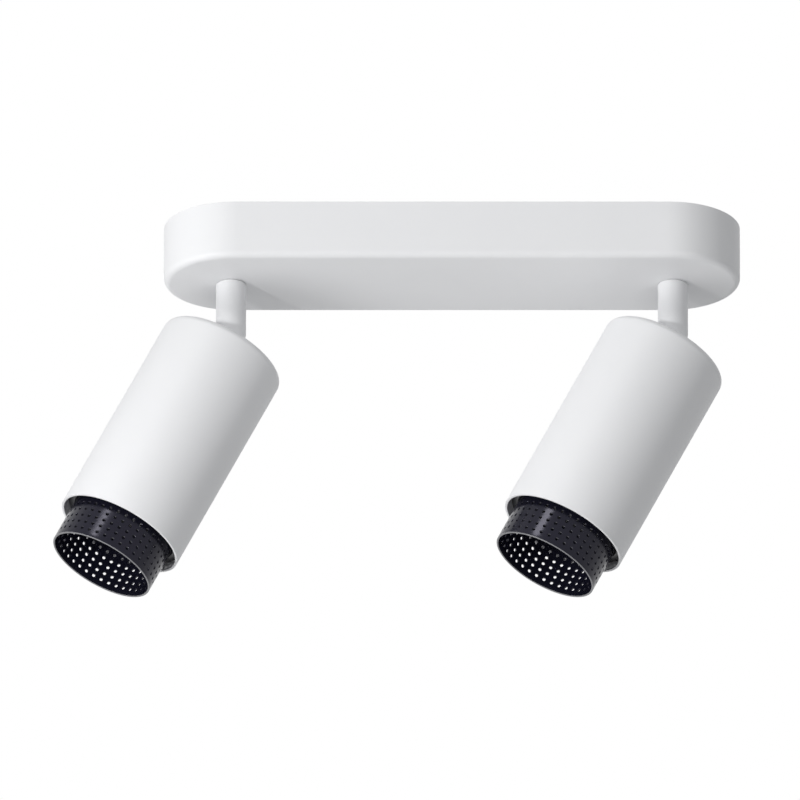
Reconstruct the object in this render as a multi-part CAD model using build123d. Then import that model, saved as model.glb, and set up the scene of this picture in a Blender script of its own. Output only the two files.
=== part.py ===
from build123d import *

import os
from math import cos, degrees, pi, radians, sin, sqrt

# Two-head pivoting spotlight on a shallow base with half-round ends.
# Millimetres. The origin is the middle of the mounting plane, +Z points into the surface that
# carries the light, +X runs along the base and -Y is the front. The heads hang below the base.

# ---------------------------------------------------------------- driving dimensions: base
base_length = 287.0
base_width = 71.0
base_height = 29.5
cover_wall = 1.5
cover_edge_radius = 3.2
strap_width = 26.0
strap_thickness = 2.0
strap_leg_width = 12.0
strap_leg_depth = 16.0
strap_shoulder_inset = 17.0
cover_screw_drop = 10.0
cover_screw_radius = 2.0
cover_screw_socket = 1.2
fixing_slot_spacing = 90.0
fixing_slot_length = 20.0
fixing_slot_width = 5.0

# terminal block, its brass inserts and screws
pole_pitch = 9.0
pole_count = 3
block_depth = 17.0
block_height = 13.0
insert_radius = 3.0
insert_bore_radius = 2.2
terminal_screw_radius = 1.5
terminal_screw_offset = 5.0
block_margin = 1.0
block_groove_width = 1.0
block_groove_depth = 2.0
block_screw_radius = 1.5
block_screw_head_height = 1.5
driver_slot_width = 0.6
driver_slot_depth = 0.7
earth_screw_x = 27.0
earth_screw_y = 7.0
earth_screw_radius = 2.0
earth_screw_head_height = 2.4
lug_radius = 4.0
lug_thickness = 0.8
lug_barrel_radius = 1.5
lug_barrel_length = 4.0
bonding_loop = 9.0
bonding_bend = 2.4

# ---------------------------------------------------------------- driving dimensions: stems
stem_inset = 33.5
stem_diameter = 15.0
stem_drop = 30.5
stem_chamfer = 0.7
stem_seam = 0.3
stem_thread_depth = 8.0
thread_radius = 5.0
nipple_bore_radius = 3.7
stop_washer_thickness = 1.5
stop_washer_radius = 8.5
stop_tab_reach = 14.0
stop_tab_width = 4.0
stop_stud_circle = 11.5
stop_stud_radius = 1.5
wave_washer_thickness = 1.0
nut_height = 3.0
nut_across_flats = 14.0
thread_end = 1.0

# ---------------------------------------------------------------- driving dimensions: knuckle
head_tilt = 27.5
head_turn = 6.0
knuckle_radius = 6.8
knuckle_chamber_radius = 5.2
knuckle_chamber_depth = 3.2
knuckle_boss_radius = 3.0
knuckle_web = 1.7
knuckle_passage_radius = 3.0
knuckle_screw_radius = 2.0
knuckle_screw_head_radius = 3.5
knuckle_screw_head_height = 2.0
knuckle_screw_tip = 6.0
knuckle_socket_radius = 1.45
knuckle_socket_depth = 1.4
spring_washer_thickness = 0.6

# ---------------------------------------------------------------- driving dimensions: heads
head_diameter = 64.6
head_reach = 120.0
head_wall = 1.3
cap_thickness = 2.0
cap_edge_radius = 4.0
lamp_bracket_thickness = 1.2
lamp_bracket_width = 12.0
lamp_bracket_half_span = 17.0
lamp_bracket_foot = 11.0
toothed_washer_thickness = 0.8
toothed_washer_rim = 3.0
washer_teeth = 12
tooth_gap = 1.2
holder_back = 33.0
holder_radius = 13.5
holder_height = 20.0
holder_screw_spacing = 19.0
holder_screw_radius = 1.5
holder_screw_head_radius = 2.7
holder_screw_head_height = 1.8
holder_screw_reach = 7.0
holder_flat_inset = 1.5
lamp_radius = 25.0
lamp_length = 46.0
lamp_neck_radius = 12.0
lamp_neck_length = 12.0
lamp_rim = 4.0
flare_cones = 4
lens_radius = 22.5
lens_thickness = 2.0
pin_spacing = 10.0
pin_radius = 1.5
pin_head_radius = 2.4
pin_length = 7.0
pin_head_height = 2.5
lens_chamfer = 0.6
ring_chamfer = 0.4

# guide ring, grip ring and perforated sleeve
sleeve_radius = 27.0
sleeve_wall = 1.0
sleeve_proud = 19.5
sleeve_travel = 10.0
sleeve_hold = 2.0
ring_recess = 4.7
ring_lip = 1.5
ring_lip_bore_radius = 25.7
grip_ring_width = 2.0
grip_ring_height = 1.1
grip_ring_offset = 4.0
hole_diameter = 1.6
hole_rows = 5
holes_around = 39
first_row = 3.9
row_pitch = 3.65
first_column_angle = 6.3

# leads
lead_radius = 1.0
lead_pitch = 2.15
lead_row_gap = 2.5
lead_bend = 4.0
lead_end_above_pivot = 10.0
head_lead_radius = 0.9
head_lead_offset = 6.0
head_lead_bend = 2.0
head_lead_spacing = 1.85
lead_insertion = 3.0
lead_sides = 8

# ---------------------------------------------------------------- clearances
loose_gap = 0.3
running_gap = 0.05
thread_gap = 0.02
washer_gap = 0.2

# ---------------------------------------------------------------- derived places
stem_spacing = base_length - 2 * stem_inset
end_radius = base_width / 2
end_centre_x = (base_length - base_width) / 2
inner_end_radius = end_radius - cover_wall
cover_floor = -base_height + cover_wall
strap_face = -strap_thickness
leg_face_x = end_centre_x + sqrt(inner_end_radius**2 - (strap_leg_width / 2) ** 2) - loose_gap
pivot_z = -base_height - stem_drop
stem_radius = stem_diameter / 2
stem_top = -base_height - stem_seam
stop_washer_top = cover_floor + stop_washer_thickness
wave_washer_top = stop_washer_top + wave_washer_thickness
nipple_top = wave_washer_top + nut_height + thread_end
knuckle_gap = loose_gap / 3
cap_face = knuckle_radius + loose_gap
cap_inner = cap_face + cap_thickness
screw_floor = -(knuckle_chamber_depth + knuckle_web)
washer_face = screw_floor - thread_gap
screw_face = washer_face - spring_washer_thickness
bracket_face = cap_inner + lamp_bracket_thickness
toothed_washer_face = bracket_face + toothed_washer_thickness
spigot_end = toothed_washer_face + nut_height + thread_end
head_radius = head_diameter / 2
head_bore_radius = head_radius - head_wall
holder_face = holder_back + holder_height
lamp_face = holder_face + lamp_length
ring_front = head_reach - ring_recess
ring_shelf = ring_front - sleeve_travel - sleeve_hold
ring_back = ring_shelf - ring_lip
ring_bore_radius = sleeve_radius + 2 * running_gap
ring_outer_radius = head_bore_radius - thread_gap
sleeve_rim = head_reach + sleeve_proud
sleeve_bore_radius = sleeve_radius - sleeve_wall
block_length = pole_pitch * pole_count + 2 * block_margin
pole_z = strap_face - block_height / 2
lead_level = {"left": pole_z + lead_pitch / 2, "right": pole_z - lead_pitch / 2}
block_front = block_depth / 2
lug_barrel_start = earth_screw_y + lug_radius + 1

sides = {"left": -1, "right": 1}
parts = {}


# ---------------------------------------------------------------- helpers
def rod(radius, low, high, x=0.0, y=0.0):
    """A round bar along Z from low to high."""
    return Pos(x, y, (low + high) / 2) * Cylinder(radius, high - low)


def ring(outer_radius, inner_radius, low, high):
    """A flat ring around Z from low to high."""
    return rod(outer_radius, low, high) - rod(inner_radius, low - 1, high + 1)


def slab(x_low, x_high, y_low, y_high, z_low, z_high):
    """A box from its low and high corners."""
    centre = Pos((x_low + x_high) / 2, (y_low + y_high) / 2, (z_low + z_high) / 2)
    return centre * Box(x_high - x_low, y_high - y_low, z_high - z_low)


def bar_along_y(radius, low, high, x, z):
    """A round bar along Y from low to high."""
    return Pos(x, (low + high) / 2, z) * Rot(90, 0, 0) * Cylinder(radius, high - low)


def bar_along_x(radius, low, high, y=0.0, z=0.0):
    """A round bar along X from low to high."""
    return Pos((low + high) / 2, y, z) * Rot(0, 90, 0) * Cylinder(radius, high - low)


def hex_nut(bore_radius, low, high):
    """A hexagon nut around Z, its corners broken by a round bar."""
    corner_radius = nut_across_flats / sqrt(3)
    blank = Pos(0, 0, low) * extrude(RegularPolygon(corner_radius, 6), high - low)
    return blank - rod(bore_radius, low - 1, high + 1)


def driver_slot(radius, face, x=0.0, y=0.0):
    """A straight slot across a screw head whose face looks down."""
    half = driver_slot_width / 2
    reach = radius + 1
    return slab(x - reach, x + reach, y - half, y + half, face - 1, face + driver_slot_depth)


def lead_along(points, radius, bend):
    """A lead swept along straight runs joined by arcs. Its section is many-sided, not round."""
    path = FilletPolyline(*points, radius=bend)
    section = Plane(origin=path @ 0, z_dir=path % 0) * RegularPolygon(radius, lead_sides)
    return sweep(section, path=path)


def stem_frame(side):
    """The stem's frame: origin at the pivot, +Z up, +X along the pivot axis."""
    place = Pos(sides[side] * stem_spacing / 2, 0, pivot_z)
    return place * Rot(0, 0, head_turn - 90)


def head_frame(side):
    """The head's frame: origin at the pivot, +Z towards the mouth, +X along the pivot axis."""
    tilt, turn = radians(head_tilt), radians(head_turn)
    mouthward = (-sin(tilt) * cos(turn), -sin(tilt) * sin(turn), -cos(tilt))
    pivot_axis = (sin(turn), -cos(turn), 0)
    origin = (sides[side] * stem_spacing / 2, 0, pivot_z)
    return Plane(origin=origin, x_dir=pivot_axis, z_dir=mouthward).location


# ---------------------------------------------------------------- base
def make_base_cover():
    """Pressed cover: a stadium pan, open at the back, soft around its lower edge."""
    outer = extrude(SlotOverall(base_length, base_width), -base_height)
    outer = fillet(outer.edges().group_by(Axis.Z)[0], cover_edge_radius)
    inner_outline = SlotOverall(base_length - 2 * cover_wall, base_width - 2 * cover_wall)
    inner = extrude(inner_outline, cover_floor)
    inner = chamfer(inner.edges().group_by(Axis.Z)[0], cover_edge_radius - cover_wall)
    cover = outer - inner
    for sign in sides.values():
        hole_x = sign * stem_spacing / 2
        cover -= rod(thread_radius + washer_gap, -base_height - 1, cover_floor + 1, hole_x)
        end_x = sign * base_length / 2
        hole_radius = cover_screw_radius + washer_gap / 2
        cover -= bar_along_x(hole_radius, end_x - 5, end_x + 5, 0, -cover_screw_drop)
    return cover


def make_mounting_bracket():
    """Steel strap against the surface, with two fixing slots and a turned-down leg at each end."""
    leg_back = leg_face_x - strap_thickness
    shoulder_x = leg_face_x - strap_shoulder_inset
    half_width, half_leg = strap_width / 2, strap_leg_width / 2
    strap = slab(-shoulder_x, shoulder_x, -half_width, half_width, strap_face, 0)
    strap += slab(-leg_face_x, leg_face_x, -half_leg, half_leg, strap_face, 0)
    for sign in sides.values():
        low, high = sorted((sign * leg_back, sign * leg_face_x))
        strap += slab(low, high, -half_leg, half_leg, -strap_leg_depth, 0)
    slot = SlotOverall(fixing_slot_length, fixing_slot_width)
    for sign in sides.values():
        place = Pos(sign * fixing_slot_spacing / 2, 0, strap_face - 1)
        strap -= place * extrude(slot, strap_thickness + 2)
        hole_radius = cover_screw_radius + thread_gap
        low, high = sorted((sign * (leg_back - 1), sign * (leg_face_x + 1)))
        strap -= bar_along_x(hole_radius, low, high, 0, -cover_screw_drop)
    strap -= rod(block_screw_radius + thread_gap, strap_face - 1, 1, pole_pitch / 2)
    strap -= rod(earth_screw_radius + thread_gap, strap_face - 1, 1, earth_screw_x, earth_screw_y)
    return strap


def make_cover_screws():
    """Two socket set screws, flush with the cover's ends, in the strap's legs."""
    flush_x = base_length / 2 - running_gap
    tail_x = leg_face_x - strap_thickness - 1
    screws = []
    for sign in sides.values():
        low, high = sorted((sign * tail_x, sign * flush_x))
        screw = bar_along_x(cover_screw_radius, low, high, 0, -cover_screw_drop)
        socket_end = sign * (flush_x - cover_screw_radius)
        low, high = sorted((socket_end, sign * (flush_x + 1)))
        screw -= slab(
            low, high, -cover_screw_socket, cover_screw_socket,
            -cover_screw_drop - cover_screw_socket / 2, -cover_screw_drop + cover_screw_socket / 2,
        )
        screws.append(screw)
    return Compound(children=screws)


def pole_positions():
    """The X places of the terminal block's poles: live, earth, neutral."""
    return [pole_pitch * (index - (pole_count - 1) / 2) for index in range(pole_count)]


def make_terminal_block():
    """Three-pole block under the strap, bored for its inserts, with screw wells from below."""
    top, bottom = strap_face, strap_face - block_height
    block = slab(-block_length / 2, block_length / 2, -block_front, block_front, bottom, top)
    for x in pole_positions():
        bore_radius = insert_radius + thread_gap
        block -= bar_along_y(bore_radius, -block_front - 1, block_front + 1, x, pole_z)
        for y in (-terminal_screw_offset, terminal_screw_offset):
            block -= rod(terminal_screw_radius + washer_gap, bottom - 1, pole_z, x, y)
    block -= rod(block_screw_radius + washer_gap / 2, bottom - 1, top + 1, pole_pitch / 2)
    for x in (-pole_pitch / 2, pole_pitch / 2):
        low_x, high_x = x - block_groove_width / 2, x + block_groove_width / 2
        groove_top = bottom + block_groove_depth
        block -= slab(low_x, high_x, -block_front - 1, block_front + 1, bottom - 1, groove_top)
    return block


def make_terminal_inserts():
    """Brass tubes in the block, tapped for their clamping screws."""
    inserts = []
    for x in pole_positions():
        insert = bar_along_y(insert_radius, -block_front, block_front, x, pole_z)
        insert -= bar_along_y(insert_bore_radius, -block_front - 1, block_front + 1, x, pole_z)
        for y in (-terminal_screw_offset, terminal_screw_offset):
            hole = rod(terminal_screw_radius + thread_gap, pole_z - 2 * insert_radius, pole_z, x, y)
            insert -= hole
        inserts.append(insert)
    return Compound(children=inserts)


def make_terminal_screws():
    """Six slotted clamping screws, reached from below."""
    bottom = strap_face - block_height
    tip = pole_z - insert_bore_radius
    screws = []
    for x in pole_positions():
        for y in (-terminal_screw_offset, terminal_screw_offset):
            head_face = bottom + loose_gap
            screw = rod(terminal_screw_radius, head_face, tip, x, y)
            screws.append(screw - driver_slot(terminal_screw_radius, head_face, x, y))
    return Compound(children=screws)


def make_block_screw():
    """Screw that holds the terminal block to the strap."""
    bottom = strap_face - block_height
    x = pole_pitch / 2
    head_face = bottom - block_screw_head_height
    screw = rod(block_screw_radius, head_face, 0, x)
    screw += rod(2 * block_screw_radius, head_face, bottom, x)
    return screw - driver_slot(2 * block_screw_radius, head_face, x)


def make_earth_screw():
    """Earth screw through the lug into the strap."""
    under_head = strap_face - lug_thickness
    head_face = under_head - earth_screw_head_height
    screw = rod(earth_screw_radius, head_face, 0, earth_screw_x, earth_screw_y)
    screw += rod(2 * earth_screw_radius, head_face, under_head, earth_screw_x, earth_screw_y)
    slot = driver_slot(earth_screw_radius, head_face, earth_screw_x, earth_screw_y)
    cross_slot = slot.rotate(Axis((earth_screw_x, earth_screw_y, 0), (0, 0, 1)), 90)
    return screw - slot - cross_slot


def make_earth_lug():
    """Ring lug with its crimp barrel, under the earth screw's head."""
    low, high = strap_face - lug_thickness, strap_face
    barrel_z = strap_face - lug_barrel_radius
    x, y = earth_screw_x, earth_screw_y
    barrel_end = lug_barrel_start + lug_barrel_length
    neck_half = lug_barrel_radius * 0.8
    lug = rod(lug_radius, low, high, x, y)
    lug += slab(x - neck_half, x + neck_half, y, lug_barrel_start + 1, low, high)
    lug += bar_along_y(lug_barrel_radius, lug_barrel_start, barrel_end, x, barrel_z)
    lug -= bar_along_y(lead_radius + thread_gap, lug_barrel_start + 1, barrel_end + 1, x, barrel_z)
    return lug - rod(earth_screw_radius + washer_gap / 2, low - 1, high + 1, x, y)


def make_lead(side, order, pole_x):
    """One lead from its pole, along the strap's front edge, and down into the stem."""
    sign = sides[side]
    z = lead_level[side]
    row_y = -block_front - lead_row_gap * (order + 1.5)
    stem_x = sign * (stem_spacing / 2 + lead_pitch * (order - 1))
    points = [
        (pole_x, -block_front + lead_insertion, z),
        (pole_x, row_y, z),
        (stem_x, row_y, z),
        (stem_x, 0, z),
        (stem_x, 0, pivot_z + lead_end_above_pivot),
    ]
    return lead_along(points, lead_radius, lead_bend)


def make_bonding_lead():
    """Earth lead from the middle pole's back to the lug on the strap."""
    lug_z = strap_face - lug_barrel_radius
    turn_y = lug_barrel_start + bonding_loop
    points = [
        (0, block_front - lead_insertion, pole_z),
        (0, turn_y, pole_z),
        (earth_screw_x, turn_y, pole_z),
        (earth_screw_x, turn_y, lug_z),
        (earth_screw_x, lug_barrel_start + 1.5, lug_z),
    ]
    return lead_along(points, lead_radius, bonding_bend)


def make_leads():
    """Live, earth and neutral leads. The pole nearer to a side takes that side's inner row."""
    live_x, earth_x, neutral_x = pole_positions()
    live = [make_lead("left", 0, live_x), make_lead("right", 2, live_x)]
    earth = [make_lead("left", 1, earth_x), make_lead("right", 1, earth_x), make_bonding_lead()]
    neutral = [make_lead("left", 2, neutral_x), make_lead("right", 0, neutral_x)]
    return live, earth, neutral


def make_stop_studs():
    """A stud on the cover's floor beside each stem, on the side that the head leans to."""
    studs = []
    for side in sides:
        angle = radians(180 + head_turn)
        x = sides[side] * stem_spacing / 2 + stop_stud_circle * cos(angle)
        y = stop_stud_circle * sin(angle)
        height = stop_washer_thickness + wave_washer_thickness
        studs.append(rod(stop_stud_radius, cover_floor, cover_floor + height, x, y))
    return Compound(children=studs)


# ---------------------------------------------------------------- stem, in the stem's frame
def make_friction_washer():
    """Thin washer between stem and cover: it leaves the fine seam at the stem's top."""
    return ring(stem_radius - 1, thread_radius + washer_gap, stem_top - pivot_z, -base_height - pivot_z)


def make_nipple():
    """Threaded tube that joins the stem to the cover."""
    low = stem_top - pivot_z - stem_thread_depth
    return ring(thread_radius, nipple_bore_radius, low, nipple_top - pivot_z)


def make_stop_washer():
    """Washer that turns with the stem. Its tab meets the stud at each end of the turn."""
    low, high = cover_floor - pivot_z, stop_washer_top - pivot_z
    washer = rod(stop_washer_radius, low, high)
    washer += slab(-stop_tab_width / 2, stop_tab_width / 2, 0, stop_tab_reach, low, high)
    return washer - rod(thread_radius + thread_gap, low - 1, high + 1)


def make_wave_washer():
    """Spring washer that keeps the turn stiff."""
    low, high = stop_washer_top - pivot_z, wave_washer_top - pivot_z
    return ring(stop_washer_radius - 1, thread_radius + washer_gap, low, high)


def make_stem_nut():
    low = wave_washer_top - pivot_z
    return hex_nut(thread_radius + thread_gap, low, low + nut_height)


def tongue_profile():
    """The knuckle's side view in the YZ plane: a full-round end that widens to the stem."""
    flank_height = sqrt(stem_radius**2 - knuckle_radius**2)
    shoulder = knuckle_radius + loose_gap
    end = Plane.YZ * Circle(knuckle_radius)
    flank = Plane.YZ * Polygon(
        (-knuckle_radius, 0), (knuckle_radius, 0), (stem_radius, flank_height),
        (stem_radius, shoulder + 1), (-stem_radius, shoulder + 1), (-stem_radius, flank_height),
        align=None,
    )
    return end + flank


def knuckle_chamber(direction):
    """Annular wire chamber around the screw's boss, in the half on this side of the joint."""
    inner, outer = sorted((direction * -1.0, direction * knuckle_chamber_depth))
    chamber = bar_along_x(knuckle_chamber_radius, inner, outer)
    return chamber - bar_along_x(knuckle_boss_radius, inner, outer)


def make_stem():
    """Turned stem: threaded socket on top, wire bore, and the front half of the knuckle."""
    top = stem_top - pivot_z
    shoulder = knuckle_radius + loose_gap
    body = rod(stem_radius, shoulder, top)
    body = chamfer(body.edges().group_by(Axis.Z)[-1], stem_chamfer)
    tongue = extrude(tongue_profile(), stem_radius, both=True)
    tongue &= rod(stem_radius, -stem_radius, shoulder + 0.5)
    tongue &= slab(knuckle_gap, stem_radius, -20, 20, -20, 20)
    stem = body + tongue
    stem -= rod(thread_radius + thread_gap, top - stem_thread_depth, top + 1)
    stem -= rod(nipple_bore_radius, shoulder + 1.0, top)
    stem -= rod(knuckle_passage_radius, knuckle_boss_radius, top) & slab(0, 9, -9, 9, 0, top)
    stem -= knuckle_chamber(1)
    stem -= bar_along_x(knuckle_screw_radius + thread_gap, -1, knuckle_screw_tip + loose_gap)
    return stem


def make_knuckle_screw():
    """Pivot screw: it clamps the knuckle's halves and is the hinge pin."""
    head_face = screw_face - knuckle_screw_head_height
    screw = bar_along_x(knuckle_screw_radius, screw_face, knuckle_screw_tip)
    screw += bar_along_x(knuckle_screw_head_radius, head_face, screw_face)
    socket = Plane.YZ.offset(head_face) * RegularPolygon(knuckle_socket_radius, 6)
    return screw - extrude(socket, knuckle_socket_depth)


def make_spring_washer():
    """Thin washer between the screw's head and the lower half, which turns against it."""
    washer = bar_along_x(knuckle_screw_head_radius, screw_face, washer_face)
    return washer - bar_along_x(knuckle_screw_radius + running_gap, screw_face - 1, washer_face + 1)


# ---------------------------------------------------------------- head, in the head's frame
def make_knuckle_lower():
    """Rear half of the knuckle, standing on the cap, with its threaded spigot."""
    tongue = extrude(tongue_lower_profile(), stem_radius, both=True)
    tongue &= rod(stem_radius, -stem_radius, cap_face)
    tongue &= slab(-stem_radius, -knuckle_gap, -20, 20, -20, 20)
    lower = tongue + rod(thread_radius, cap_face - 0.5, spigot_end)
    lower -= slab(-knuckle_gap, 9, -9, 9, cap_face - 1, cap_face)
    lower -= rod(knuckle_passage_radius, knuckle_boss_radius, spigot_end + 1) & slab(
        -knuckle_passage_radius, -knuckle_gap, -9, 9, 0, cap_face
    )
    lower -= rod(knuckle_passage_radius, cap_face, spigot_end + 1)
    lower -= knuckle_chamber(-1)
    well_radius = knuckle_screw_head_radius + loose_gap
    lower -= bar_along_x(well_radius, -stem_radius - 1, screw_floor)
    return lower - bar_along_x(knuckle_screw_radius + running_gap, screw_floor - 1, 1)


def tongue_lower_profile():
    """The lower half's side view: a full-round end and straight flanks down to the cap."""
    end = Plane.YZ * Circle(knuckle_radius)
    flank = Plane.YZ * Polygon(
        (-knuckle_radius, 0), (knuckle_radius, 0), (knuckle_radius, cap_face),
        (-knuckle_radius, cap_face), align=None,
    )
    return end + flank


def make_head_body():
    """Spun cup: closed at the cap, open at the mouth, soft around the cap's edge."""
    outer = rod(head_radius, cap_face, head_reach)
    outer = fillet(outer.edges().group_by(Axis.Z)[0], cap_edge_radius)
    inner = rod(head_bore_radius, cap_inner, head_reach + 1)
    inner = chamfer(inner.edges().group_by(Axis.Z)[0], cap_edge_radius - head_wall)
    return outer - inner - rod(thread_radius + washer_gap, cap_face - 1, cap_inner + 1)


def make_toothed_washer():
    """Locking washer: a ring with teeth around its rim."""
    low, high = bracket_face, toothed_washer_face
    outer = thread_radius + toothed_washer_rim
    washer = ring(outer, thread_radius + washer_gap, low, high)
    notch = slab(outer - 1, outer + 1, -tooth_gap / 2, tooth_gap / 2, low - 1, high + 1)
    for index in range(washer_teeth):
        washer -= Rot(0, 0, index * 360 / washer_teeth) * notch
    return washer


def make_head_nut():
    return hex_nut(thread_radius + thread_gap, toothed_washer_face, toothed_washer_face + nut_height)


def make_lamp_bracket():
    """Bent steel hoop: web under the cap, two legs, and feet that carry the lampholder."""
    half_width = lamp_bracket_width / 2
    span, thickness = lamp_bracket_half_span, lamp_bracket_thickness
    hoop = slab(-half_width, half_width, -span, span, cap_inner, bracket_face)
    for sign in (-1, 1):
        low, high = sorted((sign * span, sign * (span - thickness)))
        hoop += slab(-half_width, half_width, low, high, cap_inner, holder_back)
        low, high = sorted((sign * span, sign * (span - lamp_bracket_foot)))
        foot = slab(-half_width, half_width, low, high, holder_back - thickness, holder_back)
        hole_y = sign * holder_screw_spacing / 2
        hoop += foot - rod(holder_screw_radius + washer_gap / 2, 0, holder_back + 1, 0, hole_y)
    return hoop - rod(thread_radius + washer_gap, cap_inner - 1, bracket_face + 1)


def make_lampholder():
    """Ceramic holder: round block with two pin wells and two flats."""
    holder = rod(holder_radius, holder_back, holder_face)
    flat_x = holder_radius - holder_flat_inset
    holder &= slab(-flat_x, flat_x, -holder_radius, holder_radius, holder_back, holder_face)
    for sign in (-1, 1):
        well_floor = holder_face - pin_length - 1
        well_radius = pin_head_radius + washer_gap
        holder -= rod(well_radius, well_floor, holder_face + 1, sign * pin_spacing / 2)
        hole_y = sign * holder_screw_spacing / 2
        screw_end = holder_back + holder_screw_reach + 1
        holder -= rod(holder_screw_radius + thread_gap, holder_back - 1, screw_end, 0, hole_y)
        lead_x = sign * head_lead_offset
        lead_end = holder_back + lead_insertion + 1
        holder -= rod(head_lead_radius + thread_gap, holder_back - 1, lead_end, lead_x)
    return holder


def make_holder_screws():
    """Two screws through the bracket's feet into the lampholder."""
    screws = []
    under_head = holder_back - lamp_bracket_thickness
    head_face = under_head - holder_screw_head_height
    for sign in (-1, 1):
        y = sign * holder_screw_spacing / 2
        screw = rod(holder_screw_radius, head_face, holder_back + holder_screw_reach, 0, y)
        screw += rod(holder_screw_head_radius, head_face, under_head, 0, y)
        screws.append(screw - driver_slot(holder_screw_head_radius, head_face, 0, y))
    return Compound(children=screws)


def make_lamp_housing():
    """Reflector lamp's housing: neck, flared body and front rim with a seat for the lens."""
    neck_end = holder_face + lamp_neck_length
    rim_start = lamp_face - lamp_rim
    corners = [(0, holder_face), (lamp_neck_radius, holder_face)]
    for step in range(flare_cones + 1):
        angle = step / flare_cones * pi / 2
        radius = lamp_neck_radius + (lamp_radius - lamp_neck_radius) * sin(angle)
        corners.append((radius, rim_start - (rim_start - neck_end) * cos(angle)))
    corners += [(lamp_radius, lamp_face), (0, lamp_face)]
    outline = Plane.XZ * Polygon(*corners, align=None)
    housing = revolve(outline, Axis.Z)
    return housing - rod(lens_radius + thread_gap, lamp_face - lens_thickness, lamp_face + 1)


def make_lamp_lens():
    """Shallow domed front lens."""
    lens = rod(lens_radius, lamp_face - lens_thickness, lamp_face)
    return chamfer(lens.edges().group_by(Axis.Z)[-1], lens_chamfer)


def make_lamp_pins():
    """Two headed pins that turn into the lampholder."""
    pins = []
    for sign in (-1, 1):
        x = sign * pin_spacing / 2
        tip = holder_face - pin_length
        pin = rod(pin_radius, tip, holder_face, x)
        pins.append(pin + rod(pin_head_radius, tip, tip + pin_head_height, x))
    return Compound(children=pins)


def make_head_leads():
    """Three leads from the knuckle's spigot: two into the lampholder, one to a bracket foot."""
    start = cap_face + 1
    low_bend, high_bend = spigot_end + 3, holder_back - 6
    leads = []
    for sign in (-1, 1):
        inner_x, outer_x = sign * head_lead_spacing, sign * head_lead_offset
        points = [(inner_x, 0, start), (inner_x, 0, low_bend), (outer_x, 0, high_bend)]
        points.append((outer_x, 0, holder_back + lead_insertion))
        leads.append(lead_along(points, head_lead_radius, head_lead_bend))
    foot_y = holder_screw_spacing / 2
    screw_top = holder_back - lamp_bracket_thickness - holder_screw_head_height
    points = [(0, 0, start), (0, 0, low_bend), (0, foot_y, high_bend - 2), (0, foot_y, screw_top)]
    leads.append(lead_along(points, head_lead_radius, head_lead_bend))
    return Compound(children=leads)


def make_guide_ring():
    """Ring pressed into the mouth: bore for the sleeve, a lip that it seats on, a grip groove."""
    guide = rod(ring_outer_radius, ring_back, ring_front)
    guide = chamfer(guide.edges().group_by(Axis.Z)[-1], ring_chamfer)
    guide -= rod(ring_bore_radius, ring_shelf, ring_front + 1)
    guide -= rod(ring_lip_bore_radius, ring_back - 1, ring_front)
    low, high = grip_ring_span()
    return guide - rod(ring_bore_radius + grip_ring_height, low, high)


def grip_ring_span():
    """Where the grip ring's groove lies, from its back edge to its front edge."""
    high = ring_front - grip_ring_offset
    return high - grip_ring_width, high


def make_grip_ring():
    """Rubber ring that holds the sleeve by friction."""
    low, high = grip_ring_span()
    outer = ring_bore_radius + grip_ring_height - thread_gap
    return ring(outer, sleeve_radius + thread_gap, low + thread_gap, high - thread_gap)


def make_sleeve():
    """Perforated sleeve: thin tube with rows of holes behind a plain rim.

    The tube has one flat for each column of holes, and each punch is four-sided with the round
    hole's area, so that hundreds of holes stay few faces.
    """
    half_column = pi / holes_around
    flat_centre = Rot(0, 0, first_column_angle) * Rot(0, 0, degrees(half_column))
    length = sleeve_rim - ring_shelf
    outer = extrude(RegularPolygon(sleeve_radius, holes_around), length)
    inner_corner = sleeve_radius - sleeve_wall / cos(half_column)
    inner = extrude(RegularPolygon(inner_corner, holes_around), length)
    sleeve = Pos(0, 0, ring_shelf) * flat_centre * (outer - inner)
    punch_radius = hole_diameter / 2 * sqrt(pi / 2)
    punch_start = Plane.YZ.offset(sleeve_bore_radius - 1)
    punch = extrude(punch_start * RegularPolygon(punch_radius, 4), sleeve_wall + 2)
    punches = []
    for row in range(hole_rows):
        z = sleeve_rim - first_row - row * row_pitch
        for column in range(holes_around):
            angle = first_column_angle + column * 360 / holes_around
            punches.append(Pos(0, 0, z) * Rot(0, 0, angle) * punch)
    return sleeve - punches


# ---------------------------------------------------------------- assembly
def add(name, shape):
    parts[name] = shape


def add_base():
    live, earth, neutral = make_leads()
    add("base_cover", make_base_cover())
    add("mounting_bracket", make_mounting_bracket())
    add("cover_screws", make_cover_screws())
    add("terminal_block", make_terminal_block())
    add("terminal_inserts", make_terminal_inserts())
    add("terminal_screws", make_terminal_screws())
    add("block_screw", make_block_screw())
    add("earth_screw", make_earth_screw())
    add("earth_lug", make_earth_lug())
    add("live_leads", Compound(children=live))
    add("earth_leads", Compound(children=earth))
    add("neutral_leads", Compound(children=neutral))
    add("stop_studs", make_stop_studs())


stem_pieces = {
    "friction_washer": make_friction_washer,
    "nipple": make_nipple,
    "stop_washer": make_stop_washer,
    "wave_washer": make_wave_washer,
    "stem_nut": make_stem_nut,
    "stem": make_stem,
    "knuckle_screw": make_knuckle_screw,
    "spring_washer": make_spring_washer,
}
head_pieces = {
    "knuckle_lower": make_knuckle_lower,
    "head_body": make_head_body,
    "toothed_washer": make_toothed_washer,
    "head_nut": make_head_nut,
    "lamp_bracket": make_lamp_bracket,
    "lampholder": make_lampholder,
    "holder_screws": make_holder_screws,
    "lamp_housing": make_lamp_housing,
    "lamp_lens": make_lamp_lens,
    "lamp_pins": make_lamp_pins,
    "head_leads": make_head_leads,
    "guide_ring": make_guide_ring,
    "grip_ring": make_grip_ring,
    "sleeve": make_sleeve,
}


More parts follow.
